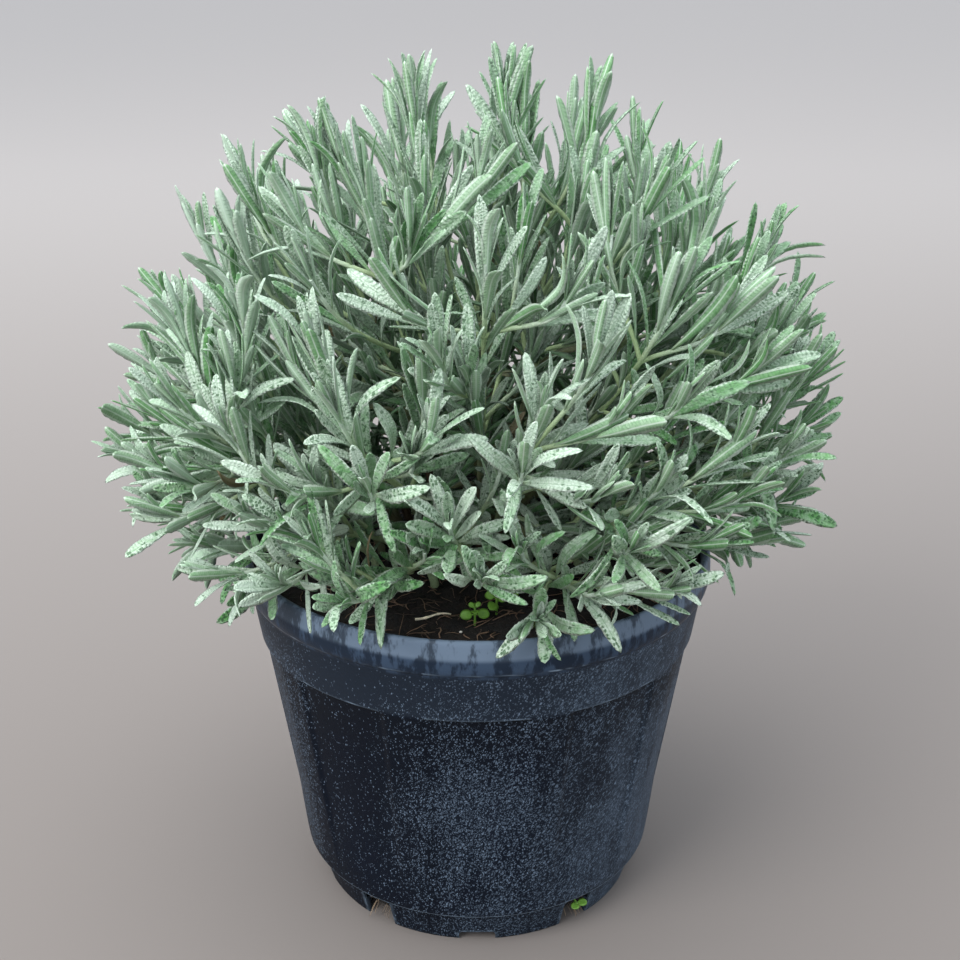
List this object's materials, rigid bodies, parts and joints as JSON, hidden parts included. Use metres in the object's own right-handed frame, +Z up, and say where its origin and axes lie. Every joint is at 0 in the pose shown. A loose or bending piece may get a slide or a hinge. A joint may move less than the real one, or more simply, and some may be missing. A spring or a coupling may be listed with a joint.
{
  "type": "potted lavender plant",
  "caption": "Bushy woolly-leaved lavender in a round stepped nursery pot with a rolled rim, recessed wall panels and foot drain notches, standing on its foot ring.",
  "frame": {"origin": "on the pot's axis at the ground, under the middle of the whole plant's box", "axes": "+Z up along the pot's axis, -Y towards the side that the picture shows, +X to the right in the picture"},
  "size_m": [0.4066, 0.3649, 0.4683],
  "materials": {
    "pot_plastic": "dark blue-black moulded plastic, dusty and speckled, slightly damp on the rim",
    "potting_soil": "near-black damp potting mix with reddish bark fibres",
    "lavender_foliage": "grey-green woolly leaves, pitted with dark green, on pale yellow-green stems",
    "weed_foliage": "bright green smooth small leaves",
    "dry_straw": "dry pale straw"
  },
  "bodies": {
    "root": {"pot": "pot_plastic", "soil": "potting_soil", "leafy_stem_01": "lavender_foliage", "leafy_stem_02": "lavender_foliage", "leafy_stem_03": "lavender_foliage", "leafy_stem_04": "lavender_foliage", "leafy_stem_05": "lavender_foliage", "leafy_stem_06": "lavender_foliage", "leafy_stem_07": "lavender_foliage", "leafy_stem_08": "lavender_foliage", "leafy_stem_09": "lavender_foliage", "leafy_stem_10": "lavender_foliage", "leafy_stem_11": "lavender_foliage", "leafy_stem_12": "lavender_foliage", "leafy_stem_13": "lavender_foliage", "leafy_stem_14": "lavender_foliage", "leafy_stem_15": "lavender_foliage", "leafy_stem_16": "lavender_foliage", "leafy_stem_17": "lavender_foliage", "leafy_stem_18": "lavender_foliage", "leafy_stem_19": "lavender_foliage", "leafy_stem_20": "lavender_foliage", "leafy_stem_21": "lavender_foliage", "leafy_stem_22": "lavender_foliage", "leafy_stem_23": "lavender_foliage", "leafy_stem_24": "lavender_foliage", "leafy_stem_25": "lavender_foliage", "leafy_stem_26": "lavender_foliage", "leafy_stem_27": "lavender_foliage", "leafy_stem_28": "lavender_foliage", "leafy_stem_29": "lavender_foliage", "leafy_stem_30": "lavender_foliage", "leafy_stem_31": "lavender_foliage", "leafy_stem_32": "lavender_foliage", "leafy_stem_33": "lavender_foliage", "leafy_stem_34": "lavender_foliage", "leafy_stem_35": "lavender_foliage", "leafy_stem_36": "lavender_foliage", "leafy_stem_37": "lavender_foliage", "leafy_stem_38": "lavender_foliage", "seedling_1": "weed_foliage", "seedling_2": "weed_foliage", "seedling_3": "weed_foliage", "straw_twig": "dry_straw", "drain_sprout": "weed_foliage"}
  },
  "joints": []
}
